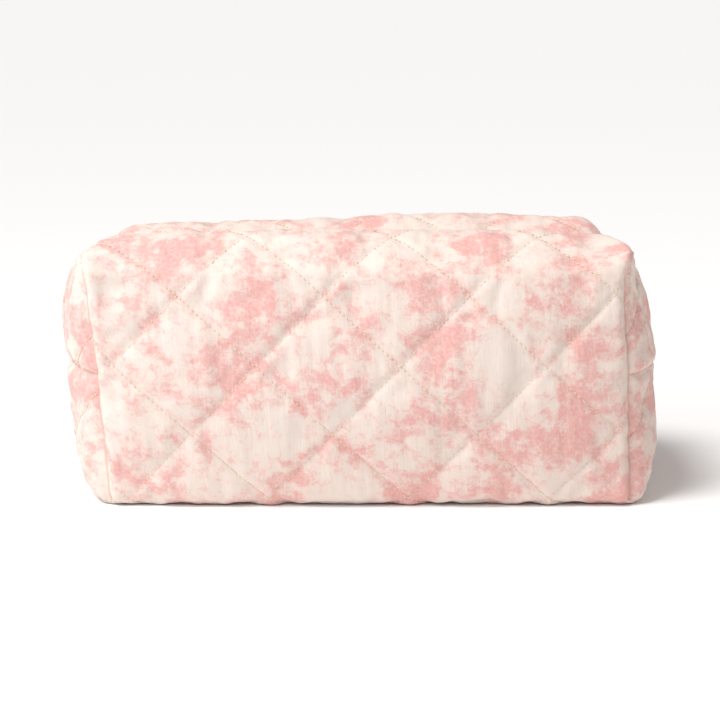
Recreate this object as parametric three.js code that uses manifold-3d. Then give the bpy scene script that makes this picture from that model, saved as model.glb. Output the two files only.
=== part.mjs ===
// A quilted, boxy make-up bag: two padded muslin panels, boxed at the corners and joined by a
// zip along the top. Millimetres, +Z up. X runs along the zip and -Y is the front of the bag.
// The origin is at the middle of the base, on the surface that the bag stands on.
import * as THREE from 'three';
import { mergeVertices } from 'three/addons/utils/BufferGeometryUtils.js';
import Module from 'manifold-3d';

const wasm = await Module();
wasm.setup();

// ---- driving dimensions ----
const LENGTH = 206;             // between the corner seams at the two ends
const DEPTH = 98;               // between the front and back edges
const HEIGHT = 102;             // base to the top edge, without the crown
const END_BULGE = 17;           // how far each end swells past its corner seams
const SIDE_BULGE = 4;           // how far the front and back swell
const CROWN = 3;                // how far each half of the top puffs up
const VALLEY = 5;               // how far the zip lies below the top edge
const VALLEY_HALF = 7;          // half the width of the valley's flat floor
const BASE_RADIUS = 10;
const TOP_RADIUS = { x: 16, y: 14, z: 16 };

const GAP = 0.3;                // clearance kept between touching pieces
const OUTER_THICK = 1.0;        // printed double muslin
const BATTING_THICK = 3.0;
const LINING_THICK = 0.8;
const BINDING_THICK = 1.6;

const FLAP_HALF = 86;           // half the length of the mouth
const FABRIC_EDGE = 6;          // from the zip's middle to the folded fabric edge
const BATTING_EDGE = 14.3;      // the batting stops short of the zip
const TAPE_HALF = 84;
const TAPE_INNER = 0.9;
const TAPE_OUTER = 14;
const TAPE_DEPTH = 2.2;         // from the muslin's face down to the tape
const TAPE_THICK = 0.7;
const COIL = { inner: 0.15, outer: 3.0, thick: 1.8 };
const SLIDER = { x: 76, length: 11, half: 4.4, plate: 1.2, flange: 1.1 };
const PULL = { length: 24, half: 3, thick: 1.0 };

// ---- levels worked out from those ----
const HALF = { x: LENGTH / 2, y: DEPTH / 2, z: HEIGHT / 2 };
const FLOOR_Z = HEIGHT - VALLEY;                   // the muslin's face beside the zip
const TAPE_TOP = FLOOR_Z - TAPE_DEPTH;
const TAPE_BOTTOM = TAPE_TOP - TAPE_THICK;
const COIL_BOTTOM = TAPE_TOP + GAP;
const COIL_TOP = COIL_BOTTOM + COIL.thick;
const HINGE_Y = HALF.y - TOP_RADIUS.y * (1 - Math.SQRT1_2);
const HINGE_Z = HEIGHT - TOP_RADIUS.z * (1 - Math.SQRT1_2);
const MOUTH_BOTTOM = 90;                           // under every layer of the top
const CLEAR = 40;                                  // how far a cutter reaches past the bag

// The layers, each as its depth below the muslin's face: where it starts and where it ends.
const LAYERS = {};
let depth = 0;
for (const [name, thick] of [['outer', OUTER_THICK], ['batting', BATTING_THICK],
  ['lining', LINING_THICK], ['binding', BINDING_THICK]]) {
  LAYERS[name] = [depth, depth + thick];
  depth += thick + GAP;
}

// ---- materials ----
const cloth = (color, roughness = 0.95) => new THREE.MeshStandardMaterial({
  color, roughness, metalness: 0 });
const MUSLIN = cloth(0xf8dcd2);
const BATTING = cloth(0xf6f3ec, 1.0);
const LINING = cloth(0xf7efe2);
const BINDING = cloth(0xf4e6d6);
const TAPE = cloth(0xf3e9da, 0.85);
const NYLON = cloth(0xf4ecdf, 0.45);
const METAL = new THREE.MeshStandardMaterial({ color: 0xd9bd86, roughness: 0.28, metalness: 1 });

// ---- solids ----
function solid(geometry) {
  geometry.deleteAttribute('normal');
  geometry.deleteAttribute('uv');
  const merged = mergeVertices(geometry, 1e-4);
  return new wasm.Manifold(new wasm.Mesh({
    numProp: 3,
    vertProperties: new Float32Array(merged.attributes.position.array),
    triVerts: new Uint32Array(merged.index.array),
  }));
}

function box(x, y, z) {
  const spans = [x, y, z].map(([a, b]) => [Math.min(a, b), Math.max(a, b)]);
  const geometry = new THREE.BoxGeometry(...spans.map(([a, b]) => b - a));
  geometry.translate(...spans.map(([a, b]) => (a + b) / 2));
  return solid(geometry);
}

// An outline in the Y-Z plane carried along X from one end to the other.
function alongX(points, half) {
  const shape = new THREE.Shape(points.map(([y, z]) => new THREE.Vector2(y, z)));
  const geometry = new THREE.ExtrudeGeometry(shape, { depth: 2 * half, bevelEnabled: false });
  // the extrusion's own x, y and depth become the bag's Y, Z and X
  geometry.applyMatrix4(new THREE.Matrix4().makeBasis(
    new THREE.Vector3(0, 1, 0), new THREE.Vector3(0, 0, 1), new THREE.Vector3(1, 0, 0)));
  geometry.translate(-half, 0, 0);
  return solid(geometry);
}

// An outline in the X-Y plane, raised from z0 to z1.
function raised(shape, z0, z1, curveSegments = 4) {
  const geometry = new THREE.ExtrudeGeometry(shape, {
    depth: z1 - z0, bevelEnabled: false, curveSegments });
  geometry.translate(0, 0, z0);
  return solid(geometry);
}

function roundedRect(x0, x1, y0, y1, radius) {
  const path = new THREE.Shape();
  path.moveTo(x0 + radius, y0);
  path.lineTo(x1 - radius, y0);
  path.absarc(x1 - radius, y0 + radius, radius, -Math.PI / 2, 0);
  path.lineTo(x1, y1 - radius);
  path.absarc(x1 - radius, y1 - radius, radius, 0, Math.PI / 2);
  path.lineTo(x0 + radius, y1);
  path.absarc(x0 + radius, y1 - radius, radius, Math.PI / 2, Math.PI);
  path.lineTo(x0, y0 + radius);
  path.absarc(x0 + radius, y0 + radius, radius, Math.PI, Math.PI * 1.5);
  return path;
}

const object = new THREE.Group();

function add(name, body, material) {
  const { vertProperties, triVerts } = body.getMesh();
  const geometry = new THREE.BufferGeometry();
  geometry.setAttribute('position', new THREE.BufferAttribute(vertProperties, 3));
  geometry.setIndex(new THREE.BufferAttribute(triVerts, 1));
  geometry.computeVertexNormals();
  const mesh = new THREE.Mesh(geometry, material.clone());
  mesh.name = name;
  object.add(mesh);
}

// ---- the form of the bag ----
const SEGMENTS = { x: 10, y: 12, z: 8 };
const BAND = 2;                 // segments that a rounded edge gets on each face beside it
const Y_KNOTS = [0, VALLEY_HALF, 16, 26];   // grid lines across the top, up to the rounded edge

// A grid line's place on one axis: the last BAND segments cover the rounded edge.
function gridLine(u, half, radius, segments, knots) {
  const band = (2 * BAND) / segments;
  const inner = 1 - band;
  const a = Math.abs(u);
  if (a > inner + 1e-6) return Math.sign(u) * (half - radius + radius * (a - inner) / band);
  if (!knots) return u / inner * (half - radius);
  const places = [...knots, half - radius];
  return Math.sign(u) * places[Math.round(a / inner * (places.length - 1))];
}

// How the two halves of the top puff up on either side of the zip's flat valley.
function topRise(y, x) {
  const a = Math.abs(y);
  if (a <= VALLEY_HALF) return -VALLEY;
  const climb = Math.min(1, (a - VALLEY_HALF) / (26 - VALLEY_HALF));
  const past = Math.max(0, (a - 26) / (HALF.y - 26));
  const crown = CROWN * (1 - (x / HALF.x) ** 4);
  return -VALLEY * (1 - climb) ** 1.5 + crown * climb * (1 - past ** 2);
}

// The closed surface of the bag at a given depth below the muslin's face: a box with rounded
// edges whose ends, front and back swell between the seams.
function form(inset) {
  const geometry = new THREE.BoxGeometry(2, 2, 2, SEGMENTS.x, SEGMENTS.y, SEGMENTS.z);
  const position = geometry.attributes.position;
  for (let i = 0; i < position.count; i += 1) {
    const [u, v, w] = [position.getX(i), position.getY(i), position.getZ(i)];
    const up = THREE.MathUtils.smoothstep((w + 1) / 2, 0, 1);
    const radius = {
      x: THREE.MathUtils.lerp(BASE_RADIUS, TOP_RADIUS.x, up),
      y: THREE.MathUtils.lerp(BASE_RADIUS, TOP_RADIUS.y, up),
      z: w > 0 ? TOP_RADIUS.z : BASE_RADIUS,
    };
    const point = {
      x: gridLine(u, HALF.x, radius.x, SEGMENTS.x),
      y: gridLine(v, HALF.y, radius.y, SEGMENTS.y, w > 0.99 ? Y_KNOTS : null),
      z: gridLine(w, HALF.z, radius.z, SEGMENTS.z),
    };
    const core = {};
    const away = {};
    for (const axis of ['x', 'y', 'z']) {
      const limit = HALF[axis] - radius[axis];
      core[axis] = THREE.MathUtils.clamp(point[axis], -limit, limit);
      away[axis] = (point[axis] - core[axis]) / radius[axis];
    }
    const far = Math.hypot(away.x, away.y, away.z);
    const [X, Y, Z] = [point.x / HALF.x, point.y / HALF.y, point.z / HALF.z];
    const endSwell = END_BULGE * (1 - Y * Y) * (1 - Z * Z) * Math.sign(X);
    const sideSwell = SIDE_BULGE * (1 - X * X) * (1 - Z * Z) * Math.sign(Y);
    const swell = {
      x: Math.abs(X) > 0.999 ? endSwell : 0,
      y: Math.abs(Y) > 0.999 ? sideSwell : 0,
      z: w > 0.99 ? topRise(point.y, point.x) : 0,
    };
    const place = ['x', 'y', 'z'].map((axis) => core[axis] + swell[axis]
      + (away[axis] / far) * (radius[axis] - inset));
    position.setXYZ(i, place[0], place[1], place[2] + HALF.z);
  }
  return solid(geometry);
}

function layer([from, to]) {
  return form(from).subtract(form(to));
}

// ---- the three layers of each panel ----
// side is -1 for the front of the bag and +1 for the back.
function flapRegion(side, edge, half, gap) {
  const shift = gap * Math.SQRT1_2;
  const reach = 12;
  const inner = HINGE_Z - MOUTH_BOTTOM;
  const points = [
    [edge, MOUTH_BOTTOM - shift],
    [HINGE_Y - inner + shift, MOUTH_BOTTOM - shift],
    [HINGE_Y + reach + shift, HINGE_Z + reach - shift],
    [edge, HINGE_Z + reach - shift],
  ].map(([y, z]) => [side * y, z]);
  return alongX(side < 0 ? points.reverse() : points, half);
}

function panels() {
  const kinds = [
    ['outer', MUSLIN, FABRIC_EDGE],
    ['batting', BATTING, BATTING_EDGE],
    ['lining', LINING, FABRIC_EDGE],
  ];
  for (const [kind, material, edge] of kinds) {
    const shell = layer(LAYERS[kind]);
    for (const [name, side] of [['front', -1], ['back', 1]]) {
      const half = shell.intersect(box([-LENGTH, LENGTH], [side * GAP / 2, side * DEPTH],
        [-CLEAR, HEIGHT + CLEAR]));
      const mouth = flapRegion(side, 0, FLAP_HALF + GAP, GAP);
      add(`${name}_${kind}`, half.subtract(mouth), material);
      add(`${name}_top_${kind}`, half.intersect(flapRegion(side, edge, FLAP_HALF, 0)), material);
    }
  }
}

// ---- bindings over the raw seams inside the bag ----
function bindings() {
  const strip = layer(LAYERS.binding);
  const mid = HEIGHT / 2;
  const halfWidth = 4.5;
  const cornerInner = 40;
  add('bottom_seam_binding', strip.intersect(
    box([-85, 85], [-halfWidth, halfWidth], [0, 12])), BINDING);
  for (const [end, sign] of [['left', -1], ['right', 1]]) {
    add(`side_seam_binding_${end}`, strip.intersect(box([sign * 60, sign * LENGTH],
      [-cornerInner + 2, cornerInner - 2], [mid - halfWidth, mid + halfWidth])), BINDING);
    for (const [name, side] of [['front', -1], ['back', 1]]) {
      add(`corner_binding_${name}_${end}`, strip.intersect(box([sign * 89, sign * LENGTH],
        [side * cornerInner, side * DEPTH], [12, 88])), BINDING);
    }
  }
}

// ---- the zip ----
function zipHalves() {
  const tapes = form(TAPE_DEPTH).subtract(form(TAPE_DEPTH + TAPE_THICK));
  const postNotch = box([SLIDER.x + 0.7, SLIDER.x + SLIDER.length],
    [-TAPE_INNER, TAPE_INNER], [MOUTH_BOTTOM, HEIGHT]);
  const coilEnd = SLIDER.x + SLIDER.length / 2;
  for (const [name, side] of [['front', -1], ['back', 1]]) {
    add(`${name}_zip_tape`, tapes.intersect(box([-TAPE_HALF, TAPE_HALF],
      [side * TAPE_INNER, side * TAPE_OUTER], [MOUTH_BOTTOM, HEIGHT + CLEAR])), TAPE);
    const coil = box([-TAPE_HALF, coilEnd], [side * COIL.inner, side * COIL.outer],
      [COIL_BOTTOM, COIL_TOP]);
    add(`${name}_zip_coil`, coil.subtract(postNotch), NYLON);
    add(`${name}_zip_stop`, box([coilEnd + GAP, TAPE_HALF - 0.4], [side * 0.6, side * COIL.outer],
      [COIL_BOTTOM, COIL_TOP + 0.2]), METAL);
  }
  add('zip_bottom_stop', box([-TAPE_HALF - GAP, -FLAP_HALF], [-COIL.outer, COIL.outer],
    [TAPE_BOTTOM, COIL_TOP + 0.3]), METAL);
}

// Each end of the zip is capped by a folded muslin tab that runs down to the side seam.
function endTabs() {
  const skin = form(-1.5).subtract(form(-GAP));
  for (const [end, sign] of [['left', -1], ['right', 1]]) {
    add(`zip_end_tab_${end}`, skin.intersect(box([sign * (FLAP_HALF + GAP), sign * LENGTH],
      [-9, 9], [HEIGHT / 2, HEIGHT + CLEAR])), MUSLIN);
  }
}

// ---- the slider and its pull ----
const PLATE_BOTTOM = TAPE_BOTTOM - GAP - SLIDER.plate;
const PLATE_TOP = COIL_TOP + GAP + SLIDER.plate;
const BRIDGE = { half: 0.8, leg: 1.2, from: -3.2, to: 3.6, clear: 2.0, bar: 0.9 };
const PULL_X = SLIDER.x + 1.6;  // the pull swings about the bar that lies here, under the bridge

function slider() {
  const x0 = SLIDER.x - SLIDER.length / 2;
  const x1 = SLIDER.x + SLIDER.length / 2;
  const outline = roundedRect(x0, x1, -SLIDER.half, SLIDER.half, 2);
  let body = raised(outline, COIL_TOP + GAP, PLATE_TOP);
  body = body.add(raised(outline, PLATE_BOTTOM, TAPE_BOTTOM - GAP));
  body = body.add(box([SLIDER.x + 1.2, SLIDER.x + 3.6], [-0.6, 0.6], [PLATE_BOTTOM, PLATE_TOP]));
  for (const side of [-1, 1]) {
    body = body.add(box([x0 + 1.5, x1 - 1.5],
      [side * (SLIDER.half - SLIDER.flange), side * SLIDER.half], [TAPE_TOP + GAP, PLATE_TOP - 0.4]));
  }
  const barZ = PLATE_TOP + BRIDGE.clear;
  for (const leg of [BRIDGE.from, BRIDGE.to - BRIDGE.leg]) {
    body = body.add(box([SLIDER.x + leg, SLIDER.x + leg + BRIDGE.leg],
      [-BRIDGE.half, BRIDGE.half], [PLATE_TOP - 0.2, barZ + 0.2]));
  }
  body = body.add(box([SLIDER.x + BRIDGE.from, SLIDER.x + BRIDGE.to],
    [-BRIDGE.half, BRIDGE.half], [barZ, barZ + BRIDGE.bar]));
  add('zip_slider', body, METAL);
}

// The pull is a flat tab with a window whose end bar lies under the slider's bridge.
function pull() {
  const end = PULL_X + PULL.thick / 2;
  const bottom = PLATE_TOP + GAP;
  const outline = roundedRect(end - PULL.length, end, -PULL.half, PULL.half, 1.2);
  const window = roundedRect(end - 9, end - 1.0, -BRIDGE.half - 0.5, BRIDGE.half + 0.5, 0.4);
  outline.holes.push(new THREE.Path(window.getPoints(4).reverse()));
  const eyelet = new THREE.Path();
  eyelet.absarc(end - PULL.length + 3.5, 0, 1.2, 0, Math.PI * 2, true);
  outline.holes.push(eyelet);
  add('zip_pull', raised(outline, bottom, bottom + PULL.thick), METAL);
}

panels();
bindings();
zipHalves();
endTabs();
slider();
pull();

export default object;
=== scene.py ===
"""A quilted make-up bag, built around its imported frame.

Metres, +Z up. X runs along the zip and -Y is the front. Each panel is worked out on its flat
cutting plan: s runs along the bag, and t runs from the zip edge over the top, down the face and
under the base to the seam in the middle.
"""
import math

import bmesh
import bpy
import numpy as np
from mathutils import Matrix, Vector
from mathutils.bvhtree import BVHTree


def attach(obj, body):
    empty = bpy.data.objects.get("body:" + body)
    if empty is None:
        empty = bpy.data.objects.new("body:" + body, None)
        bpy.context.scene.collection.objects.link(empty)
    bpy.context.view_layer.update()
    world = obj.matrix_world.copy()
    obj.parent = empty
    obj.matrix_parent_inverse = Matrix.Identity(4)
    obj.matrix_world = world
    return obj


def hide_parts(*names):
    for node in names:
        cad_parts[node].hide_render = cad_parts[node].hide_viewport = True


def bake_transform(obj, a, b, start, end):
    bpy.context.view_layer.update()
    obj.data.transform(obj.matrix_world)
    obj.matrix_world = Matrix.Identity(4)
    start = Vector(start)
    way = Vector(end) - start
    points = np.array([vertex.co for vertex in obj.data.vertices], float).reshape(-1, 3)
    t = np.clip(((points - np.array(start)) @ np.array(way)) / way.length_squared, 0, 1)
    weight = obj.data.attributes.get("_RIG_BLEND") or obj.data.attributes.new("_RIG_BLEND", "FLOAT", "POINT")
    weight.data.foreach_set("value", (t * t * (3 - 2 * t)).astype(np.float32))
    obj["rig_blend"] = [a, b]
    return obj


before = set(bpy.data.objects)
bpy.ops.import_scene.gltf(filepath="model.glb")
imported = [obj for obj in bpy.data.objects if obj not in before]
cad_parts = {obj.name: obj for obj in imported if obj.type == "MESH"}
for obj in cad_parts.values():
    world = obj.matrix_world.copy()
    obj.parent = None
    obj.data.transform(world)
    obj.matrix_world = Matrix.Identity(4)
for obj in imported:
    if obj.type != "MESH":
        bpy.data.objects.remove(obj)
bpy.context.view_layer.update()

SIDES = {"front": -1, "back": 1}

# ---------------------------------------------------------------------------------------------
# The bag's shape. A filled box of padded cloth: rounded edges, ends and faces that swell between
# the seams, two puffed halves of the top with the zip in the valley between them, and a slump
# towards the left end.
# ---------------------------------------------------------------------------------------------
HALF_X, HALF_Y, TALL = 0.1060, 0.0478, 0.1010
SPLAY = 0.0015                  # how much longer the top is than mid-height, each way
ZIP_EDGE = 0.006                # from the zip's middle to the panel's folded edge
FRONT_CROWN, BACK_CROWN = 0.0075, 0.0032
VALLEY, CROWN_Y, VALLEY_Y = 0.0040, 0.026, 0.007
LEFT_SWELL, RIGHT_SWELL, FACE_SWELL = 0.0146, 0.0126, 0.0062
LEAN = 0.0065                   # how far the top has slumped along X
LEFT_EAR, RIGHT_EAR = 0.0012, 0.0038    # how far the front top corners stand up
BACK_SLUMP = 0.0030             # how far the back's left top corner has sunk
EDGE_X, EDGE_Y, EDGE_Z = 0.004, 0.006, 0.005        # radii of the rounded edges low down
SEAM_RAISED = 0.0030            # how far over mid-height the side seams lie


def ramp(value, start, end):
    """0 before start, 1 after end, and 3f^2 - 2f^3 between them."""
    f = np.clip((value - start) / (end - start), 0, 1)
    return f * f * (3 - 2 * f)


def top_rise(x, y):
    """Height of the top over its edges: a flat valley along the zip, then a puffed crown
    that falls back to the edge. The front crown is the fuller, and the back one waves."""
    away = np.abs(y)
    climb = np.clip((away - VALLEY_Y) / (CROWN_Y - VALLEY_Y), 0, 1)
    past = np.clip((away - CROWN_Y) / (HALF_Y - CROWN_Y), 0, 1)
    crown = np.where(y < 0, FRONT_CROWN, BACK_CROWN) * (1 - np.abs(x / HALF_X) ** 8)
    wave = (0.0010 * np.sin(x / 0.021 + 0.6) + 0.0020 * np.sin(x / 0.070)) * (y > 0)
    return -VALLEY * (1 - climb) ** 1.5 + (crown + wave) * climb * (1 - past**2)


def bag_form(x, y, z, inset=0.0):
    """The bag's surface at a depth of inset. A point of the plain box is pulled onto a box with
    rounded edges; then the ends and faces swell by about (1 - Y^2)(1 - Z^2), the top rises, its
    corners stand up or sink, and the whole leans along X in proportion to its height."""
    half = TALL / 2
    upper = ramp(z, 0.55 * TALL, TALL)
    behind = ramp(y, -HALF_Y, -0.2 * HALF_Y)
    radius = np.stack([EDGE_X + 0.011 * behind * upper, EDGE_Y + 0.008 * upper,
                       EDGE_Z + (0.002 + 0.009 * behind) * upper], -1)
    box = np.stack([x, y, z - half], -1)
    limit = np.array([HALF_X, HALF_Y, half]) - radius
    core = np.clip(box, -limit, limit)
    away = (box - core) / radius
    away = away / np.maximum(np.linalg.norm(away, axis=-1, keepdims=True), 1e-9)
    point = core + away * (radius - np.asarray(inset)[..., None])
    along, across, high = x / HALF_X, y / HALF_Y, (z - half) / half
    left = along < 0
    fullness = np.where(left, 2.6, 2.0)
    belly = np.where(high > 0, 1 - np.abs(high) ** fullness, 1 - 0.5 * high**4)
    square = 2.4 + 4.0 * ramp(-high, 0.2, 1.0)
    end = np.where(left, LEFT_SWELL, RIGHT_SWELL) * belly * ramp(np.abs(along), 0.7, 1)
    end *= 1 - np.abs(across) ** square
    face = FACE_SWELL * (1 - along**4) * (1 - high**2) * ramp(np.abs(across), 0.6, 1)
    corner = ramp(np.abs(along), 0.84, 0.98) * ramp(high, 0.7, 1)
    ear = np.where(left, LEFT_EAR, RIGHT_EAR) * corner * ramp(-across, 0.3, 0.9)
    sunk = BACK_SLUMP * ramp(-along, 0.7, 1.0) * ramp(high, 0.7, 1) * ramp(across, 0.1, 0.8)
    raised = SEAM_RAISED * (1 - high**2) * ramp(np.abs(along), 0.9, 1)
    point[..., 0] += (end + ear) * np.sign(along) + SPLAY * high * along
    point[..., 1] += face * np.sign(across)
    point[..., 2] += half + ear - sunk + raised + top_rise(x, y) * ramp(high, 0.9, 1)
    point[..., 0] += LEAN * (0.5 - point[..., 2] / TALL)
    return point


# ---------------------------------------------------------------------------------------------
# Quilted panels, front and back. Each is printed double muslin over wadding, quilted in crossing
# diagonals, cut as one flat piece and boxed at its corners. The wadding's puff is a cloth
# simulation in which every stitched line is held down.
# ---------------------------------------------------------------------------------------------
CELL = 0.00232                  # the cutting plan's grid
QUILT_CELLS = 24                # cells between quilting lines, counted along s
RISING_START, FALLING_START = 19, 6
CELLS_X, CELLS_TOP, CELLS_FACE, CELLS_BASE = 90, 18, 44, 21
CELLS_END = CELLS_FACE // 2     # each end is two flaps, sewn together at mid-height
CORNER_S = CELLS_X / 2 * CELL   # places on the plan: the corners,
SIDE_SEAM_S = CORNER_S + CELLS_END * CELL           # the flaps' ends,
TOP_T = CELLS_TOP * CELL                            # the top edge,
FACE_END_T = TOP_T + CELLS_FACE * CELL              # the bottom edge,
BASE_SEAM_T = FACE_END_T + CELLS_BASE * CELL        # and the seam under the base
PUFF_CAP = 0.0014               # the wadding's loft above the stitches
PUFF_FRAMES = 20
SHELL_THICK = 0.0032
TABLE_GAP, MIDDLE_GAP = 0.0004, 0.0001  # the panels stay this far over the table and off the middle
MOUTH_FULL, MOUTH_END = 0.022, 0.062    # from the middle: where the mouth opens fully, not at all
FOLD_LOW, FOLD_HIGH = (HALF_Y, 0.086), (0.0400, 0.098)      # y and z where the fold starts and ends


def lattice_noise(s, t, size_s, size_t, seed):
    """Smooth noise from -1 to 1: random values on a lattice of size_s by size_t, joined by
    the cubic 3f^2 - 2f^3 in both directions."""
    values = np.random.default_rng(seed).uniform(-1, 1, (257, 257))
    u, v = s / size_s + 61.3, t / size_t + 83.7
    i, j = np.floor(u).astype(int), np.floor(v).astype(int)
    fu, fv = u - i, v - j
    fu, fv = fu * fu * (3 - 2 * fu), fv * fv * (3 - 2 * fv)
    low = values[i % 257, j % 257] * (1 - fu) + values[(i + 1) % 257, j % 257] * fu
    high = values[i % 257, (j + 1) % 257] * (1 - fu) + values[(i + 1) % 257, (j + 1) % 257] * fu
    return low * (1 - fv) + high * fv


def cutting_plan():
    """The patches of one panel on the plain box, as (i, j, x, y, z) arrays. i and j count the
    cells along s and t. The strip runs over top, face and base, and each end has an upper and
    a lower flap."""
    half = CELLS_X // 2
    top_y = np.linspace(ZIP_EDGE, HALF_Y, CELLS_TOP + 1)
    base_y = np.concatenate([top_y[::-1], np.linspace(ZIP_EDGE, 0, 4)[1:]])
    run_y = np.concatenate([top_y, np.full(CELLS_FACE, HALF_Y), base_y[1:]])
    run_z = np.concatenate([np.full(CELLS_TOP, TALL), np.linspace(TALL, 0, CELLS_FACE + 1),
                            np.zeros(CELLS_BASE)])
    i, j = np.meshgrid(np.arange(-half, half + 1), np.arange(len(run_y)), indexing="ij")
    patches = [(i, j, i / half * HALF_X, -run_y[j], run_z[j])]
    for end in (-1, 1):
        for first, rows, start_z in ((0, top_y, TALL), (CELLS_TOP + CELLS_FACE, base_y, 0.0)):
            k, j = np.meshgrid(np.arange(CELLS_END + 1), np.arange(len(rows)), indexing="ij")
            z = np.abs(start_z - k / CELLS_FACE * TALL)
            x = np.full(k.shape, end * HALF_X)
            patches.append((end * (half + k), j + first, x, -rows[j], z))
    return patches


def quads(ids):
    """The quads of a grid of point numbers, as rows of four."""
    corners = [ids[:-1, :-1], ids[:-1, 1:], ids[1:, 1:], ids[1:, :-1]]
    return np.stack(corners, -1).reshape(-1, 4)


def facing_out(faces, points, centre=(0, 0, TALL / 2)):
    """The faces, turned over if most of their area faces centre."""
    a, b, c, d = (points[faces[:, k]] for k in range(4))
    outward = (np.cross(c - a, d - b) * ((a + c) / 2 - np.array(centre))).sum()
    return faces if outward > 0 else faces[:, ::-1]


def new_piece(name, points, faces, plan=None):
    """A mesh object from arrays. plan gives each face corner's place on the cutting plan, in
    metres, and becomes its UV map."""
    mesh = bpy.data.meshes.new(name)
    faces = faces.tolist() if isinstance(faces, np.ndarray) else faces
    mesh.from_pydata(np.asarray(points, float).reshape(-1, 3).tolist(), [], faces)
    if plan is not None:
        layer = mesh.uv_layers.new(name="cutting_plan")
        layer.data.foreach_set("uv", np.asarray(plan, np.float32).ravel())
    mesh.shade_smooth()
    piece = bpy.data.objects.new(name, mesh)
    bpy.context.scene.collection.objects.link(piece)
    return piece


def points_of(mesh):
    """The mesh's points as rows."""
    values = np.zeros(len(mesh.vertices) * 3, np.float32)
    mesh.vertices.foreach_get("co", values)
    return values.reshape(-1, 3).astype(float)


def normals_of(mesh):
    """The mesh's point normals as rows."""
    values = np.zeros(len(mesh.vertices) * 3, np.float32)
    mesh.vertex_normals.foreach_get("vector", values)
    return values.reshape(-1, 3).astype(float)


def place_points(mesh, points):
    """Moves the mesh's points to these."""
    mesh.vertices.foreach_set("co", np.asarray(points, np.float32).ravel())
    mesh.update()


def plan_of(mesh):
    """Each point's place on the cutting plan, from one of its face corners."""
    corner_point = np.zeros(len(mesh.loops), np.int32)
    mesh.loops.foreach_get("vertex_index", corner_point)
    uv = np.zeros(len(mesh.loops) * 2, np.float32)
    mesh.uv_layers["cutting_plan"].data.foreach_get("uv", uv)
    plan = np.zeros((len(mesh.vertices), 2))
    plan[corner_point] = uv.reshape(-1, 2)
    return plan[:, 0], plan[:, 1]


def apply_modifiers(piece):
    """Makes what the piece's modifiers show its own mesh."""
    shown = piece.evaluated_get(bpy.context.evaluated_depsgraph_get())
    mesh = bpy.data.meshes.new_from_object(shown)
    piece.modifiers.clear()
    piece.data = mesh


def panel(name, side, inset=0.0):
    """One whole flat-cut panel on the bag's form, its patches joined where their points meet.
    Returns the piece, the points that are stitched down, and each patch's point numbers."""
    plan = cutting_plan()
    corners = np.concatenate([np.stack(patch[2:], -1).reshape(-1, 3) for patch in plan])
    corners[:, 1] *= -side
    _, first, index = np.unique(np.round(corners, 6), axis=0, return_index=True,
                                return_inverse=True)
    index = index.ravel()
    points = bag_form(*corners[first].T, inset)
    faces, places, pins, numbers, start = [], [], [], [], 0
    for i, j, *_ in plan:
        ids = index[start:start + i.size].reshape(i.shape)
        start += i.size
        here = facing_out(quads(np.arange(i.size).reshape(i.shape)), points[ids.ravel()])
        faces.append(ids.ravel()[here])
        places.append(np.stack([i.ravel(), j.ravel()], -1)[here] * CELL)
        stitched = (i + j - RISING_START) % QUILT_CELLS == 0
        stitched |= (j - i - FALLING_START) % QUILT_CELLS == 0
        stitched[[0, -1]] = True
        stitched[:, [0, -1]] = True
        if i[0, 0] != -CELLS_X // 2:            # the ends fold over the top and base edges,
            stitched[0, 1:-1] = False           # and are not sewn there
        pins.append(ids[stitched])
        numbers.append((i, j, ids))
    piece = new_piece(name, points, np.concatenate(faces), np.concatenate(places))
    return piece, np.unique(np.concatenate(pins)), numbers


def puff(piece, pins):
    """Blows the panel out from inside as a cloth that is pinned along its stitched lines. Each
    point then keeps its motion m as cap * tanh(m / cap)."""
    rest = points_of(piece.data)
    piece.vertex_groups.new(name="stitched").add(pins.tolist(), 1.0, "REPLACE")
    cloth = piece.modifiers.new("puff", "CLOTH")
    cloth.settings.quality = 5
    cloth.settings.mass = 0.12
    cloth.settings.tension_stiffness = cloth.settings.compression_stiffness = 9
    cloth.settings.shear_stiffness = 4
    cloth.settings.bending_stiffness = 0.35
    cloth.settings.shrink_min = -0.035
    cloth.settings.use_pressure = True
    cloth.settings.uniform_pressure_force = 4
    cloth.settings.effector_weights.gravity = 0
    cloth.settings.vertex_group_mass = "stitched"
    cloth.collision_settings.use_collision = False
    cloth.point_cache.frame_start, cloth.point_cache.frame_end = 1, PUFF_FRAMES
    for number in range(1, PUFF_FRAMES + 1):
        bpy.context.scene.frame_set(number)
    moved = points_of(piece.evaluated_get(bpy.context.evaluated_depsgraph_get()).data)
    piece.modifiers.remove(cloth)
    piece.vertex_groups.clear()
    bpy.context.scene.frame_set(1)
    step = moved - rest
    length = np.linalg.norm(step, axis=1, keepdims=True)
    step *= PUFF_CAP * np.tanh(length / PUFF_CAP) / np.maximum(length, 1e-9)
    place_points(piece.data, rest + step)


def to_line(value, start):
    """Distance in metres across the plan from the nearest quilting line of one direction, of
    which value is i + j or j - i."""
    turns = (value - start) / QUILT_CELLS
    return np.abs(turns - np.round(turns)) * QUILT_CELLS * CELL / math.sqrt(2)


def from_seam(s, t):
    """Distance across the plan from the nearest seam: an end flap's long edge, its side, the
    face's side, or the seam under the base."""
    out = np.abs(s) - CORNER_S
    flap_side = np.where(t < (TOP_T + FACE_END_T) / 2, TOP_T - t, t - FACE_END_T)
    on_flap = np.minimum(np.abs(flap_side), SIDE_SEAM_S - np.abs(s))
    beside = np.where(flap_side <= 0, np.abs(out), 1.0)
    return np.minimum(np.where(out > 1e-6, on_flap, beside), BASE_SEAM_T - t)


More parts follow.
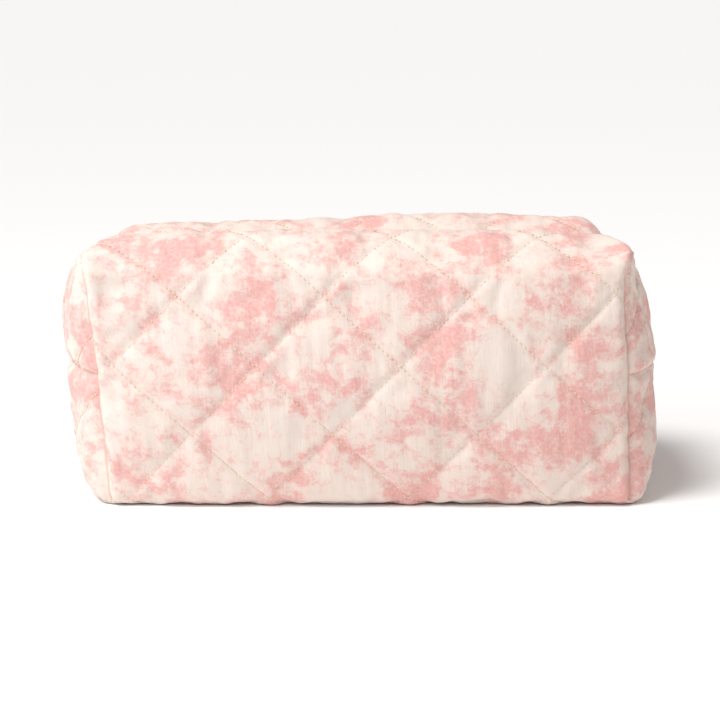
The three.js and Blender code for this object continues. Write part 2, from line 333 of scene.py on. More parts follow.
def crinkle(mesh, seed):
    """Moves each point along its normal: a soft crease down each stitched line, puckers that
    cross the line and fade away from it, creased and rolled seams, and the muslin's own soft
    crinkle, which runs along t."""
    s, t = plan_of(mesh)
    i, j = s / CELL, t / CELL
    rising = to_line(i + j, RISING_START)
    falling = to_line(j - i, FALLING_START)
    lift = -0.0006 * np.exp(-(np.minimum(rising, falling) / 0.0012) ** 2)
    for line, along, across, salt in ((rising, s - t, s + t, 4), (falling, s + t, s - t, 5)):
        pucker = lattice_noise(along, across, 0.0050, 0.016, seed + salt)
        lift += 0.00025 * pucker * np.exp(-line / 0.007)
    lift += 0.00005 * lattice_noise(s, t, 0.0017, 0.014, seed + 1)
    lift += 0.00022 * lattice_noise(s, t, 0.0034, 0.019, seed + 2)
    above = 1 - ramp(t, FACE_END_T - 0.016, FACE_END_T)
    lift += 0.00028 * lattice_noise(s, t, 0.0062, 0.034, seed + 6) * above
    lift += 0.0008 * lattice_noise(s, t, 0.034, 0.030, seed + 3) * above
    seam = from_seam(s, t)
    lift += 0.0004 * np.exp(-(((seam - 0.0045) / 0.003) ** 2))
    lift -= 0.0009 * np.exp(-((seam / 0.0013) ** 2))
    lift += 0.0004 * np.exp(-seam / 0.008) * lattice_noise(s, t, 0.0052, 0.0052, seed + 7)
    depth = np.where(s < 0, 0.0014, -0.0004)
    lift -= depth * np.exp(-(((SIDE_SEAM_S - np.abs(s)) / 0.0060) ** 2))
    lift *= 0.15 + 0.85 * ramp(t, 0.001, 0.018)
    place_points(mesh, points_of(mesh) + normals_of(mesh) * lift[:, None])


def bend_with_mouth(piece, name):
    """The piece turns with its side's flap about the top edge: fully at the middle of the
    mouth, and less and less towards the mouth's ends."""
    side = SIDES[name]
    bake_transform(piece, "root", name + "_flap", start=(0, side * FOLD_LOW[0], FOLD_LOW[1]),
             end=(0, side * FOLD_HIGH[0], FOLD_HIGH[1]))
    count = len(piece.data.vertices)
    weights = np.zeros(count, np.float32)
    attribute = piece.data.attributes["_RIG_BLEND"].data
    attribute.foreach_get("value", weights)
    taper = 1 - ramp(np.abs(points_of(piece.data)[:, 0]), MOUTH_FULL, MOUTH_END)
    attribute.foreach_set("value", (weights * taper).astype(np.float32))


panels, quilt_numbers, skins = {}, {}, {}
for name, side in SIDES.items():
    piece, pins, numbers = panel(name + "_quilted_panel", side)
    puff(piece, pins)
    coarse = points_of(piece.data)
    quilt_numbers[name] = [(i, j, coarse[ids]) for i, j, ids in numbers]
    finer = piece.modifiers.new("finer", "SUBSURF")
    finer.levels = finer.render_levels = 1
    apply_modifiers(piece)
    crinkle(piece.data, 10 + side)
    settled = points_of(piece.data)
    settled[:, 2] = np.maximum(settled[:, 2], TABLE_GAP)    # the base lies flat on the table,
    _, t = plan_of(piece.data)                              # and the two panels meet at the seam
    to_middle = np.where(t > BASE_SEAM_T - 1e-5, 0.0, side * settled[:, 1])
    settled[:, 1] = side * np.maximum(to_middle, MIDDLE_GAP)
    place_points(piece.data, settled)
    skins[name] = BVHTree.FromPolygons(settled.tolist(),
                                       [tuple(p.vertices) for p in piece.data.polygons])
    loft = piece.vertex_groups.new(name="loft")
    edge = ramp(np.abs(settled[:, 1]), ZIP_EDGE, 0.016)
    edge = np.where(settled[:, 2] > 0.09, 0.5 + 0.5 * edge, 1.0)
    for share in np.unique(np.round(edge, 1)):
        loft.add(np.flatnonzero(np.round(edge, 1) == share).tolist(), float(share), "REPLACE")
    thick = piece.modifiers.new("wadding", "SOLIDIFY")
    thick.thickness, thick.offset = SHELL_THICK, -1
    thick.vertex_group = "loft"
    panels[name] = piece


def node(tree, kind, inputs=(), **settings):
    """Adds a node, sets its settings, and sets or links each named input."""
    made = tree.nodes.new(kind)
    for key, value in settings.items():
        setattr(made, key, value)
    for key, value in dict(inputs).items():
        if isinstance(value, bpy.types.NodeSocket):
            tree.links.new(value, made.inputs[key])
        else:
            made.inputs[key].default_value = value
    return made


def maths(tree, operation, *values, clamp=False):
    """The result of a Math node on these values or sockets."""
    made = node(tree, "ShaderNodeMath", dict(enumerate(values)), operation=operation,
                use_clamp=clamp)
    return made.outputs[0]


def stepped(tree, value, start, end, low=0.0, high=1.0):
    """value mapped smoothly from start..end to low..high."""
    made = node(tree, "ShaderNodeMapRange", {"Value": value, "From Min": start, "From Max": end,
                "To Min": low, "To Max": high}, interpolation_type="SMOOTHSTEP")
    return made.outputs["Result"]


def noise(tree, vector, scale, detail=2.0, roughness=0.5, output="Fac"):
    """A noise texture's output at this many features a unit."""
    made = node(tree, "ShaderNodeTexNoise", {"Vector": vector, "Scale": scale, "Detail": detail,
                "Roughness": roughness})
    return made.outputs[output]


def blended(tree, share, first, second):
    """The two colours mixed by share."""
    made = node(tree, "ShaderNodeMix", {0: share}, data_type="RGBA")
    for socket, value in ((made.inputs[6], first), (made.inputs[7], second)):
        if isinstance(value, bpy.types.NodeSocket):
            tree.links.new(value, socket)
        else:
            socket.default_value = value
    return made.outputs[2]


def rgb(red, green, blue):
    """A colour as the eye names it, 0 to 255, turned into the linear values that nodes take."""
    parts = [c / 255 for c in (red, green, blue)]
    return [c / 12.92 if c <= 0.04045 else ((c + 0.055) / 1.055) ** 2.4 for c in parts] + [1.0]


def new_group(name, inputs, outputs):
    """An empty node group with these named float or vector inputs and outputs."""
    group = bpy.data.node_groups.new(name, "ShaderNodeTree")
    for in_out, sockets in (("INPUT", inputs), ("OUTPUT", outputs)):
        for label, kind in sockets.items():
            group.interface.new_socket(label, in_out=in_out, socket_type="NodeSocket" + kind)
    return group, node(group, "NodeGroupInput").outputs, node(group, "NodeGroupOutput").inputs


def plain_weave():
    """Plain weave: two sets of threads that cross, each a sine ridge broken by slow noise.
    Threads is how many lie in a metre."""
    tree, given, out = new_group("plain_weave", {"Vector": "Vector", "Threads": "Float"},
                                 {"Height": "Float"})
    wander = noise(tree, given["Vector"], 240.0, output="Color")
    shifted = node(tree, "ShaderNodeVectorMath", {0: wander, 1: (0.0006, 0.0006, 0.0)},
                   operation="MULTIPLY").outputs[0]
    moved = node(tree, "ShaderNodeVectorMath", {0: given["Vector"], 1: shifted},
                 operation="ADD").outputs[0]
    apart = node(tree, "ShaderNodeSeparateXYZ", {0: moved}).outputs
    turns = maths(tree, "MULTIPLY", given["Threads"], math.pi)
    ridges = [maths(tree, "ABSOLUTE", maths(tree, "SINE", maths(tree, "MULTIPLY", axis, turns)))
              for axis in (apart["X"], apart["Y"])]
    tree.links.new(maths(tree, "MAXIMUM", *ridges), out["Height"])
    return tree


weave_group = plain_weave()


def woven(tree, vector, threads):
    """The plain weave's height at this vector."""
    made = node(tree, "ShaderNodeGroup", node_tree=weave_group)
    tree.links.new(vector, made.inputs["Vector"])
    made.inputs["Threads"].default_value = threads
    return made.outputs["Height"]


def new_material(name, rough, sheen=0.0):
    """A material with a Principled shader whose roughness and sheen are plain values."""
    material = bpy.data.materials.new(name)
    material.use_nodes = True
    shader = material.node_tree.nodes["Principled BSDF"]
    shader.inputs["Roughness"].default_value = rough
    shader.inputs["Sheen Weight"].default_value = sheen
    shader.inputs["Sheen Roughness"].default_value = 0.4
    return material, material.node_tree, shader


def bumped(tree, shader, height, distance, strength=1.0):
    """Feeds a height to the shader's normal."""
    made = node(tree, "ShaderNodeBump", {"Height": height, "Distance": distance,
                "Strength": strength})
    tree.links.new(made.outputs["Normal"], shader.inputs["Normal"])


# The print: faded pink sprigs, in drifts with bare cloth between them.
CREAM, PALE_PINK, PINK = rgb(228, 212, 202), rgb(227, 193, 184), rgb(220, 134, 131)
# The colour of the painted shade in each seam's gap, where the cloth turns in.
PAINTED_SEAM_SHADE = rgb(208, 160, 145)


def sprig_print():
    """How much ink and haze lie at a place on the cloth. Drifts about 40 mm across decide how
    dense the sprigs are, and the sprigs are a fine branching noise cut off at a level, so their
    edges are lacy; a 1 mm stipple and thin stems break up the ink."""
    tree, given, out = new_group("sprig_print", {"Vector": "Vector"},
                                 {"Ink": "Float", "Haze": "Float"})
    plan = given["Vector"]

    def warped(scale, reach):
        wander = noise(tree, plan, scale, 2.0, 0.6, "Color")
        bent = node(tree, "ShaderNodeVectorMath", {0: wander, 1: (reach, reach, 0.0)},
                    operation="MULTIPLY").outputs[0]
        return node(tree, "ShaderNodeVectorMath", {0: plan, 1: bent}, operation="ADD").outputs[0]

    drift = noise(tree, warped(60.0, 0.014), 38.0, 2.0, 0.5)
    branching = noise(tree, warped(260.0, 0.003), 170.0, 5.0, 0.72)
    level = maths(tree, "MULTIPLY_ADD", drift, 0.52, maths(tree, "MULTIPLY", branching, 0.48))
    field = noise(tree, warped(150.0, 0.006), 130.0, 1.0)
    from_ridge = maths(tree, "ABSOLUTE", maths(tree, "SUBTRACT", field, 0.5))
    stem = maths(tree, "MULTIPLY", stepped(tree, from_ridge, 0.0, 0.035, 0.6, 0.0),
                 stepped(tree, level, 0.42, 0.52))
    stipple = stepped(tree, noise(tree, plan, 640.0, 3.0, 0.7), 0.38, 0.60)
    leafy = maths(tree, "MAXIMUM", stepped(tree, level, 0.485, 0.575), stem)
    ink = maths(tree, "MULTIPLY", leafy, maths(tree, "MULTIPLY_ADD", stipple, 0.50, 0.50))
    tree.links.new(ink, out["Ink"])
    haze = stepped(tree, level, 0.42, 0.57, 0.0, 0.75)
    tree.links.new(haze, out["Haze"])
    return tree


def painted_seam_gap():
    """1 along each seam, where painted shade darkens the gap in which the cloth turns in, and 0
    away from it, worked out from the cutting plan as in from_seam()."""
    tree, given, out = new_group("painted_seam_gap", {"Vector": "Vector"}, {"Shade": "Float"})
    place = node(tree, "ShaderNodeSeparateXYZ", {0: given["Vector"]}).outputs
    far = maths(tree, "ABSOLUTE", place["X"])
    beyond = maths(tree, "SUBTRACT", far, CORNER_S)
    middle_t, half_t = (TOP_T + FACE_END_T) / 2, (FACE_END_T - TOP_T) / 2
    off_face = maths(tree, "SUBTRACT",
                     maths(tree, "ABSOLUTE", maths(tree, "SUBTRACT", place["Y"], middle_t)),
                     half_t)
    flap = maths(tree, "MINIMUM", maths(tree, "ABSOLUTE", off_face),
                 maths(tree, "SUBTRACT", SIDE_SEAM_S, far))
    on_flap = maths(tree, "GREATER_THAN", beyond, 1e-6)
    on_face = maths(tree, "LESS_THAN", off_face, 1e-6)
    beside = maths(tree, "ADD", maths(tree, "ABSOLUTE", beyond),
                   maths(tree, "SUBTRACT", 1.0, on_face))
    distance = maths(tree, "ADD", maths(tree, "MULTIPLY", on_flap, flap),
                     maths(tree, "MULTIPLY", maths(tree, "SUBTRACT", 1.0, on_flap), beside))
    tree.links.new(stepped(tree, distance, 0.0002, 0.0007, 1.0, 0.0), out["Shade"])
    return tree


print_group, seam_group = sprig_print(), painted_seam_gap()


def printed_muslin(name, cut_from):
    """Cream crinkled double muslin, printed: a haze of pale pink and an ink of deeper pink, with
    fine crinkles along t and a plain weave in the relief. cut_from is where on the printed cloth
    the piece was cut."""
    material, tree, shader = new_material(name + "_printed_muslin", 0.95, sheen=0.08)
    plan = node(tree, "ShaderNodeUVMap", uv_map="cutting_plan").outputs["UV"]
    printed = node(tree, "ShaderNodeGroup", {}, node_tree=print_group)
    on_cloth = node(tree, "ShaderNodeMapping", {"Vector": plan, "Location": cut_from})
    tree.links.new(on_cloth.outputs[0], printed.inputs["Vector"])
    seams = node(tree, "ShaderNodeGroup", {}, node_tree=seam_group)
    tree.links.new(plan, seams.inputs["Vector"])
    long_way = node(tree, "ShaderNodeMapping", {"Vector": plan, "Scale": (1.0, 0.14, 1.0)})
    folds = noise(tree, long_way.outputs[0], 420.0, 2.0, 0.55)
    weave = woven(tree, plan, 1500.0)
    worn = maths(tree, "MULTIPLY_ADD", folds, 0.5, 0.72, clamp=True)
    ink = maths(tree, "MULTIPLY", printed.outputs["Ink"], worn)
    colour = blended(tree, printed.outputs["Haze"], CREAM, PALE_PINK)
    colour = blended(tree, maths(tree, "MULTIPLY", ink, 0.60), colour, PINK)
    # Painted shade: the cloth darkens along each seam's gap, where the cloth turns in.
    colour = blended(tree, maths(tree, "MULTIPLY", seams.outputs["Shade"], 0.6), colour,
                     PAINTED_SEAM_SHADE)
    tree.links.new(colour, shader.inputs["Base Color"])
    bumped(tree, shader, maths(tree, "MULTIPLY_ADD", weave, 0.10, folds), 0.0004, 0.7)
    return material


# Where each piece was cut from the printed cloth. The tabs' own plan sets their place on it.
CUT_FROM = {"front": (0.0, 0.0, 0.0), "back": (0.37, 0.21, 0.0), "tabs": (0.0, 0.0, 0.0)}
muslin = {name: printed_muslin(name, place) for name, place in CUT_FROM.items()}
for name, piece in panels.items():
    piece.data.materials.append(muslin[name])
    bend_with_mouth(piece, name)
    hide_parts(name + "_outer", name + "_top_outer", name + "_batting",
                name + "_top_batting")

# ---------------------------------------------------------------------------------------------
# Quilting stitches. Thick cream cotton thread in a long running stitch, along every quilting
# line and beside the zip; each stitch sinks into the cloth at both ends.
# ---------------------------------------------------------------------------------------------
STITCH_PITCH, STITCH_LENGTH, THREAD_RADIUS, STITCH_SIDES = 0.0023, 0.0017, 0.00021, 6
TOPSTITCH_END = 0.083           # the zip's topstitching ends here, each way


def along_path(path, places):
    """The points at these distances along a path, joined straight."""
    path = np.asarray(path, float)
    steps = np.linalg.norm(np.diff(path, axis=0), axis=1)
    measured = np.concatenate([[0], np.cumsum(steps)])
    return np.stack([np.interp(places, measured, path[:, k]) for k in range(3)], -1)


def stitch_ends(path):
    """Where the stitches along a path start and end, as two arrays of points."""
    total = np.linalg.norm(np.diff(path, axis=0), axis=1).sum()
    middles = (np.arange(int(total / STITCH_PITCH)) + 0.5) * STITCH_PITCH
    half = STITCH_LENGTH / 2
    return along_path(path, middles - half), along_path(path, middles + half)


def runs(i, j, points, keep, order):
    """The points of a grid that keep marks, split into one path for each value of order."""
    groups = [keep & (order == value) for value in np.unique(order[keep])]
    paths = [points[group][np.argsort(i[group] * 1000 + j[group])] for group in groups]
    return [path for path in paths if len(path) > 1]


def onto(skin, points, lift=0.0):
    """The nearest places on a skin to these points, raised by lift, and the normals there."""
    found = [skin.find_nearest(Vector(point)) for point in points]
    place = np.array([hit[0] for hit in found])
    normal = np.array([hit[1] for hit in found])
    return place + normal * lift, normal


def stitch_beads(start, end, normal):
    """Points and faces of one closed six-sided bead for each stitch. Its two rings stand just
    proud of the cloth, and its pointed ends are under it."""
    ahead = end - start
    long = np.linalg.norm(ahead, axis=1, keepdims=True)
    ahead = ahead / np.maximum(long, 1e-9)
    aside = np.cross(ahead, normal)
    turn = np.arange(STITCH_SIDES) * math.tau / STITCH_SIDES
    ring = (aside[:, None] * np.cos(turn)[None, :, None]
            + normal[:, None] * np.sin(turn)[None, :, None] * 0.85) * THREAD_RADIUS
    proud = normal * THREAD_RADIUS * 0.45
    first = (start + ahead * long * 0.2 + proud)[:, None] + ring
    second = (end - ahead * long * 0.2 + proud)[:, None] + ring
    sunk = normal * THREAD_RADIUS
    points = np.concatenate([(start - sunk)[:, None], first, second, (end - sunk)[:, None]], 1)
    near = np.arange(STITCH_SIDES)
    after = (near + 1) % STITCH_SIDES
    far = near + STITCH_SIDES
    last = np.full(STITCH_SIDES, 2 * STITCH_SIDES + 1)
    tips = np.stack([np.zeros(STITCH_SIDES, int), after + 1, near + 1], -1)
    tails = np.stack([last, far + 1, after + STITCH_SIDES + 1], -1)
    sides = np.stack([near + 1, after + 1, after + STITCH_SIDES + 1, far + 1], -1)
    offset = np.arange(len(points))[:, None, None] * points.shape[1]
    faces = [f for part in (tips, tails, sides)
             for f in (part[None] + offset).reshape(-1, part.shape[1]).tolist()]
    return points.reshape(-1, 3), faces


def outward(piece):
    """Turns the faces of a closed piece to point outward."""
    work = bmesh.new()
    work.from_mesh(piece.data)
    bmesh.ops.remove_doubles(work, verts=work.verts, dist=1e-7)
    bmesh.ops.recalc_face_normals(work, faces=work.faces)
    work.to_mesh(piece.data)
    work.free()
    return piece


def sewn(name, skin, paths, material):
    """One piece with the stitches of all these paths, laid on a skin."""
    pairs = [stitch_ends(path) for path in paths]
    start, normal = onto(skin, np.concatenate([pair[0] for pair in pairs]))
    end, _ = onto(skin, np.concatenate([pair[1] for pair in pairs]))
    points, faces = stitch_beads(start, end, normal)
    piece = outward(new_piece(name, points, faces))
    piece.data.materials.append(material)
    return piece


def spun_thread(name, colour, strand_shadow):
    """Twisted cotton thread: fine slanting bands of painted shade between the strands, which leaves the
    strands' backs lighter.
    """
    material, tree, shader = new_material(name, 0.75, sheen=0.2)
    spot = node(tree, "ShaderNodeTexCoord").outputs["Object"]
    twist = node(tree, "ShaderNodeTexWave", {"Vector": spot, "Scale": 900.0, "Distortion": 2.0},
                 bands_direction="DIAGONAL").outputs["Fac"]
    tree.links.new(blended(tree, twist, strand_shadow, colour), shader.inputs["Base Color"])
    bumped(tree, shader, twist, 0.0001, 0.6)
    return material


# The second colour is the painted shade between the thread's strands.
thread = spun_thread("quilting_thread", rgb(242, 222, 196), rgb(230, 204, 176))
for name, side in SIDES.items():
    paths = []
    for i, j, points in quilt_numbers[name]:
        paths += runs(i, j, points, (i + j - RISING_START) % QUILT_CELLS == 0, i + j)
        paths += runs(i, -j, points, (j - i - FALLING_START) % QUILT_CELLS == 0, j - i)
    i, j, points = quilt_numbers[name][0]
    paths += runs(i, j, points, (j == 1) & (np.abs(points[..., 0]) < TOPSTITCH_END), j)
    piece = sewn(name + "_quilting_stitches", skins[name], paths, thread)
    bend_with_mouth(piece, name)

# ---------------------------------------------------------------------------------------------
# Linings, front and back. Plain cream cotton, cut like the quilted panel, sewn in at the zip
# and the seams, and a little slack inside the bag.
# ---------------------------------------------------------------------------------------------
LINING_INSET, LINING_THICK, LINING_SLACK = 0.0048, 0.0004, 0.0005


def woven_cotton(name, light, dark, threads, rough=0.9, coordinates="Object"):
    """Plain woven cotton: thread-by-thread relief with painted shade between the threads, and slow uneven
    patches of tone.
    """
    material, tree, shader = new_material(name, rough, sheen=0.15)
    if coordinates == "UV":
        spot = node(tree, "ShaderNodeUVMap", uv_map="cutting_plan").outputs["UV"]
    else:
        spot = node(tree, "ShaderNodeTexCoord").outputs["Object"]
    height = woven(tree, spot, threads)
    patches = stepped(tree, noise(tree, spot, 60.0, 3.0), 0.3, 0.7, 0.75, 1.0)
    # Painted shade: darker between the threads, from the weave height, times slow patches of uneven tone.
    shade = maths(tree, "MULTIPLY", maths(tree, "MULTIPLY_ADD", height, 0.4, 0.6), patches)
    tree.links.new(blended(tree, shade, dark, light), shader.inputs["Base Color"])
    bumped(tree, shader, height, 0.00012, 0.8)
    return material


lining_cloth = woven_cotton("lining_cotton", rgb(250, 243, 230), rgb(226, 212, 192), 1100.0,
                            coordinates="UV")
for name, side in SIDES.items():
    piece, _, _ = panel(name + "_lining_cloth", side, LINING_INSET)
    finer = piece.modifiers.new("finer", "SUBSURF")
    finer.levels = finer.render_levels = 1
    apply_modifiers(piece)
    s, t = plan_of(piece.data)
    slack = LINING_SLACK * lattice_noise(s, t, 0.011, 0.019, 30 + side) * ramp(t, 0.002, 0.02)
    points = points_of(piece.data) + normals_of(piece.data) * slack[:, None]
    points[:, 1] = side * np.maximum(side * points[:, 1], 0.0002)
    place_points(piece.data, points)
    cloth = piece.modifiers.new("cloth", "SOLIDIFY")
    cloth.thickness, cloth.offset = LINING_THICK, 0
    piece.data.materials.append(lining_cloth)
    bend_with_mouth(piece, name)
    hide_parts(name + "_lining", name + "_top_lining")

# ---------------------------------------------------------------------------------------------
# Seam bindings, inside the bag. Cream cotton tape, 10 mm wide, sewn flat over the raw edges of
# the bottom seam, both side seams and the four corner seams.
# ---------------------------------------------------------------------------------------------
TAPE_WIDE, BINDING_THICK, BINDING_INSET = 0.0100, 0.0007, 0.0060


def swept(path, up, outline):
    """Points and faces of a closed outline of (sideways, upward) offsets, carried along a path
    and capped at both ends. up is the rough upward direction, one or one for each point."""
    path = np.asarray(path, float)
    ahead = np.gradient(path, axis=0)
    ahead /= np.linalg.norm(ahead, axis=1, keepdims=True)
    aside = np.cross(ahead, np.broadcast_to(up, path.shape))
    aside /= np.linalg.norm(aside, axis=1, keepdims=True)
    upward = np.cross(aside, ahead)
    outline = np.asarray(outline, float)
    points = (path[:, None] + outline[None, :, :1] * aside[:, None]
              + outline[None, :, 1:] * upward[:, None])
    ids = np.arange(points.shape[0] * points.shape[1]).reshape(points.shape[:2])
    around = np.concatenate([ids, ids[:, :1]], 1)
    faces = quads(around).tolist() + [ids[0].tolist(), ids[-1][::-1].tolist()]
    return points.reshape(-1, 3), faces


def tape_outline(wide, thick, across=8):
    """The outline of a flat tape, a little raised along both edges where they are turned in."""
    u = np.linspace(-1, 1, across + 1)
    edge = thick / 2 * (0.75 + 0.25 * np.abs(u) ** 3)
    top = np.stack([u * wide / 2, edge], -1)
    return np.concatenate([top, top[::-1] * (1, -1)])


def tape_piece(name, path, up, wide, thick, material):
    """A tape along a path, bevelled along its edges."""
    points, faces = swept(path, up, tape_outline(wide, thick))
    piece = outward(new_piece(name, points, faces))
    soften = piece.modifiers.new("edges", "BEVEL")
    soften.width, soften.segments, soften.limit_method = thick * 0.3, 2, "ANGLE"
    piece.data.materials.append(material)
    return piece


binding_cloth = woven_cotton("binding_cotton", rgb(252, 244, 230), rgb(232, 217, 196), 1500.0)
along = np.linspace(0, 1, 41)
bindings = {"bottom_seam_binding": ((along - 0.5) * 0.168, 0 * along, 0 * along, (0, 0, 1))}
for label, end in (("left", -1), ("right", 1)):
    across = (along - 0.5) * 0.074
    bindings["side_seam_binding_" + label] = (
        0 * along + end * HALF_X, across, 0 * along + TALL / 2, (-end, 0, 0))
    for name, side in SIDES.items():
        bindings["corner_binding_" + name + "_" + label] = (
            0 * along + end * HALF_X, 0 * along + side * HALF_Y, 0.012 + along * 0.074,
            (-end, -side, 0))
for name, (x, y, z, up) in bindings.items():
    path = bag_form(x, y, z, BINDING_INSET)
    piece = tape_piece(name + "_tape", path, up, TAPE_WIDE, BINDING_THICK, binding_cloth)
    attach(piece, "root")
    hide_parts(name)

# ---------------------------------------------------------------------------------------------
# Zip. Two woven cotton-polyester tapes sewn under the panels' folded edges, each with a nylon
# coil along its inner edge; metal stops at both ends, and a metal slider with a flat pull.
# ---------------------------------------------------------------------------------------------
ZIP_TAPE = {"half": 0.0885, "inner": 0.0009, "outer": 0.0140, "z": 0.09445, "thick": 0.0006}
COIL = {"start": -0.0838, "end": 0.0814, "pitch": 0.0013, "y": 0.0014, "z": 0.0960,
        "wide": 0.00145, "high": 0.00068, "wire": 0.00025, "points": 10, "sides": 5}


def nylon(name, colour):
    """Smooth off-white nylon with faint uneven tone."""
    material, tree, shader = new_material(name, 0.35)
    spot = node(tree, "ShaderNodeTexCoord").outputs["Object"]
    uneven = stepped(tree, noise(tree, spot, 900.0, 2.0), 0.3, 0.7, 0.0, 0.3)
    tree.links.new(blended(tree, uneven, colour, rgb(222, 208, 190)),
                   shader.inputs["Base Color"])
    shader.inputs["Subsurface Weight"].default_value = 0.1
    bumped(tree, shader, uneven, 0.00005, 0.5)
    return material


def plated_metal(name, colour):
    """Pale gold plate: brushed, slightly worn and uneven in gloss."""
    material, tree, shader = new_material(name, 0.28)
    shader.inputs["Metallic"].default_value = 1.0
    spot = node(tree, "ShaderNodeTexCoord").outputs["Object"]
    long_way = node(tree, "ShaderNodeMapping", {"Vector": spot, "Scale": (0.1, 1.0, 1.0)})
    brushed = noise(tree, long_way.outputs[0], 6000.0, 2.0, 0.6)
    worn = stepped(tree, noise(tree, spot, 400.0, 3.0), 0.35, 0.75)
    tree.links.new(blended(tree, worn, colour, rgb(236, 205, 160)), shader.inputs["Base Color"])
    rough = maths(tree, "MULTIPLY_ADD", brushed, 0.15, 0.18)
    tree.links.new(rough, shader.inputs["Roughness"])
    bumped(tree, shader, brushed, 0.00003, 0.5)
    return material


tape_cloth = woven_cotton("zip_tape_weave", rgb(250, 244, 234), rgb(224, 212, 196), 1900.0)
coil_nylon = nylon("coil_nylon", rgb(246, 238, 224))
gold = plated_metal("pale_gold_plate", rgb(214, 178, 128))
for name, side in SIDES.items():
    x = np.linspace(-ZIP_TAPE["half"], ZIP_TAPE["half"], 141)
    middle = side * (ZIP_TAPE["inner"] + ZIP_TAPE["outer"]) / 2
    wide = ZIP_TAPE["outer"] - ZIP_TAPE["inner"]
    ripple = 0.00012 * lattice_noise(x, 0 * x, 0.012, 1.0, 40 + side)
    path = np.stack([x, 0 * x + middle, ZIP_TAPE["z"] + ripple], -1)
    piece = tape_piece(name + "_woven_zip_tape", path, (0, 0, 1), wide, ZIP_TAPE["thick"],
                       tape_cloth)
    bend_with_mouth(piece, name)
    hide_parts(name + "_zip_tape")

    turns = (COIL["end"] - COIL["start"]) / COIL["pitch"] - 0.5
    angle = np.arange(0, turns * math.tau, math.tau / COIL["points"])
    x = COIL["start"] + COIL["pitch"] * (angle / math.tau + (0.5 if side > 0 else 0.0))
    path = np.stack([x, side * (COIL["y"] - COIL["wide"] * np.cos(angle)),
                     COIL["z"] + COIL["high"] * np.sin(angle)], -1)
    turn = np.arange(COIL["sides"]) * math.tau / COIL["sides"]
    ring = np.stack([np.cos(turn), np.sin(turn)], -1) * COIL["wire"]
    points, faces = swept(path, (1, 0, 0), ring)
    piece = outward(new_piece(name + "_nylon_coil", points, faces))
    piece.data.materials.append(coil_nylon)
    bend_with_mouth(piece, name)
    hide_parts(name + "_zip_coil")

for name, body in (("zip_slider", "slider"), ("zip_pull", "pull"), ("zip_bottom_stop", "root"),
                   ("front_zip_stop", "root"), ("back_zip_stop", "root")):
    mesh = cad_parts[name].data.copy()
    mesh.materials.clear()
    mesh.materials.append(gold)
    piece = bpy.data.objects.new(name + "_plated", mesh)
    bpy.context.scene.collection.objects.link(piece)
    outward(piece)
    mesh.shade_flat()
    soften = piece.modifiers.new("edges", "BEVEL")
    soften.width, soften.segments, soften.limit_method = 0.00022, 3, "ANGLE"
    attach(piece, body)
    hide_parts(name)

# ---------------------------------------------------------------------------------------------
# Zip end tabs. A folded strip of the printed muslin at each end of the zip, which runs over the
# top edge and down the end to the side seam, stitched along both sides.
# ---------------------------------------------------------------------------------------------
TAB = {"half": 0.0090, "foot": 0.0500, "thick": 0.0011, "proud": 0.0004}
TAB_STARTS = {"left": 0.0822, "right": 0.0863}      # before the bag leans to the left
TAB_ROW_STEP = 0.0009           # the tab's plan, in metres of cloth: from one row to the next,
TAB_CUT_S, TAB_CUT_T, TABS_APART = 0.031, 0.040, 0.050      # and where the two tabs were cut


def tab_surface(end, begin, rows=81, columns=13):
    """A strip that begins this far from the middle and runs over the top edge and down the end.
    Its sides lie on the panels, and its middle sinks to the bag's form in proportion to
    1 - V^2."""
    top, down = HALF_X - begin, TALL - TAB["foot"]
    u = np.linspace(0, top + down, rows)
    x = end * np.minimum(begin + u, HALF_X)
    z = TALL - np.maximum(u - top, 0)
    v = np.linspace(-1, 1, columns)
    grid_x, grid_z = (np.broadcast_to(a[:, None], (rows, columns)) for a in (x, z))
    form = bag_form(grid_x, np.broadcast_to(v * TAB["half"], grid_x.shape), grid_z)
    points = form.copy()
    for column, name in ((0, "front"), (-1, "back")):
        side, _ = onto(skins[name], form[:, column], TAB["proud"])
        points += (side - form[:, column])[:, None] * (np.sign(v) == np.sign(v[column]))[
            None, :, None] * v[None, :, None] ** 2
    return points


for label, end in (("left", -1), ("right", 1)):
    points = tab_surface(end, TAB_STARTS[label])
    smooth = points.copy()
    for _ in range(6):
        smooth[1:-1] = (smooth[:-2] + 2 * smooth[1:-1] + smooth[2:]) / 4
    ids = np.arange(smooth[..., 0].size).reshape(smooth.shape[:2])
    flat = smooth.reshape(-1, 3)
    faces = facing_out(quads(ids), flat)
    rows, columns = np.indices(smooth.shape[:2])
    across = columns / columns.max() * 2 * TAB["half"]
    plan = np.stack([across + TAB_CUT_S, rows * TAB_ROW_STEP + TAB_CUT_T + TABS_APART * end], -1)
    piece = new_piece("zip_end_tab_" + label + "_cloth", flat, faces,
                      plan.reshape(-1, 2)[faces])
    tab_skin = BVHTree.FromPolygons(flat.tolist(), faces.tolist())
    fold = piece.modifiers.new("fold", "SOLIDIFY")
    fold.thickness, fold.offset = TAB["thick"], 0
    soften = piece.modifiers.new("edges", "BEVEL")
    soften.width, soften.segments, soften.limit_method = 0.00035, 2, "ANGLE"
    piece.data.materials.append(muslin["tabs"])
    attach(piece, "root")
    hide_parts("zip_end_tab_" + label)
    paths = [smooth[2:-2, column] for column in (1, -2)] + [smooth[-4, 1:-1]]
    seam = sewn("zip_end_tab_" + label + "_stitches", tab_skin, paths, thread)
    seam.data.transform(Matrix.Translation((end * 0.0003, 0, 0.0003)))
    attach(seam, "root")

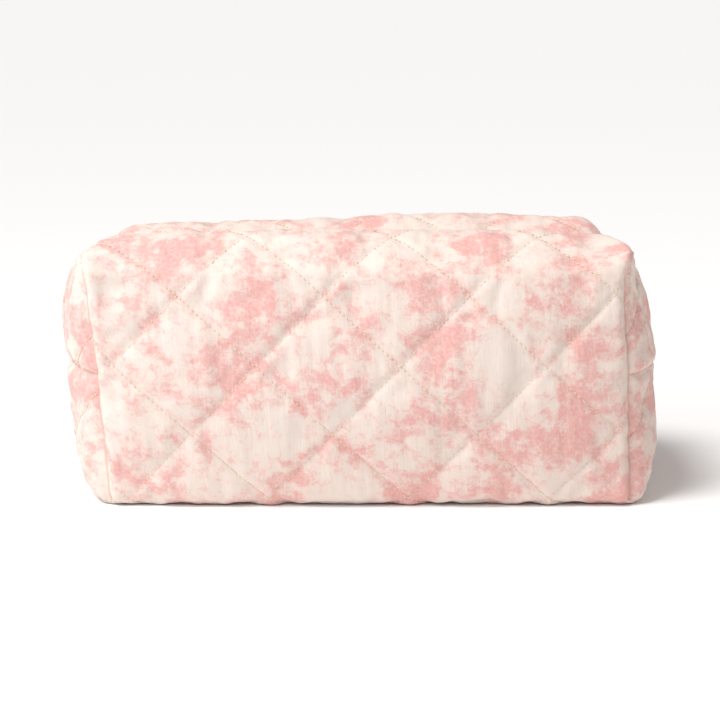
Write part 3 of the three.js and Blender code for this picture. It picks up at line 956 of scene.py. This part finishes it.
# ---------------------------------------------------------------------------------------------
# Plain stand: a pale floor, soft light from the upper left, and the camera.
# ---------------------------------------------------------------------------------------------
FLOOR_HALF = 30
VIEW_DISTANCE, VIEW_HEIGHT_DEG = 0.90, 12.6
VIEW_LENS, SENSOR_WIDE = 114.75, 36.0    # millimetres

corners = np.array([(-1, -1, 0), (1, -1, 0), (1, 1, 0), (-1, 1, 0)]) * FLOOR_HALF
floor = new_piece("floor", corners, [(0, 1, 2, 3)])
paper, tree, shader = new_material("pale_floor", 0.9)
shader.inputs["Base Color"].default_value = (0.96, 0.96, 0.96, 1)
shader.inputs["Specular IOR Level"].default_value = 0.1
floor.data.materials.append(paper)


def shine(name, kind, energy, colour, source, place=(0, 0, 0)):
    """A light at place that shines along the line from source to the origin."""
    light = bpy.data.lights.new(name, kind)
    light.energy, light.color = energy, colour
    lamp = bpy.data.objects.new(name, light)
    lamp.location = place
    lamp.rotation_euler = Vector(source).to_track_quat("Z", "Y").to_euler()
    bpy.context.scene.collection.objects.link(lamp)
    return light


window = shine("window", "SUN", 2.3, (1.0, 0.975, 0.95), (-0.40, -0.21, 0.89))
window.angle = math.radians(24)
near = shine("near_window", "AREA", 2.15, (0.88, 0.96, 1.0), (-0.50, -0.45, 0.45),
             (-0.42, -0.38, 0.44))
near.size = 0.35
far = shine("far_fill", "AREA", 0.7, (1.0, 0.93, 0.87), (0.75, -0.15, 0.30),
            (0.75, -0.15, 0.35))
far.size = 0.6

world = bpy.data.worlds.new("room")
world.use_nodes = True
room = world.node_tree.nodes["Background"].inputs
room["Color"].default_value = (1.0, 0.99, 0.985, 1)
room["Strength"].default_value = 0.34
scene = bpy.context.scene
scene.world = world
scene.view_settings.view_transform = "Standard"

camera = bpy.data.objects.new("camera", bpy.data.cameras.new("camera"))
scene.collection.objects.link(camera)
scene.camera = camera
camera.data.sensor_width = SENSOR_WIDE
camera.data.lens = VIEW_LENS
rise = math.radians(VIEW_HEIGHT_DEG)
aim = Vector((-0.0010, -HALF_Y, 0.0600))
camera.location = aim + Vector((0, -math.cos(rise), math.sin(rise))) * VIEW_DISTANCE
camera.rotation_euler = (aim - camera.location).to_track_quat("-Z", "Y").to_euler()
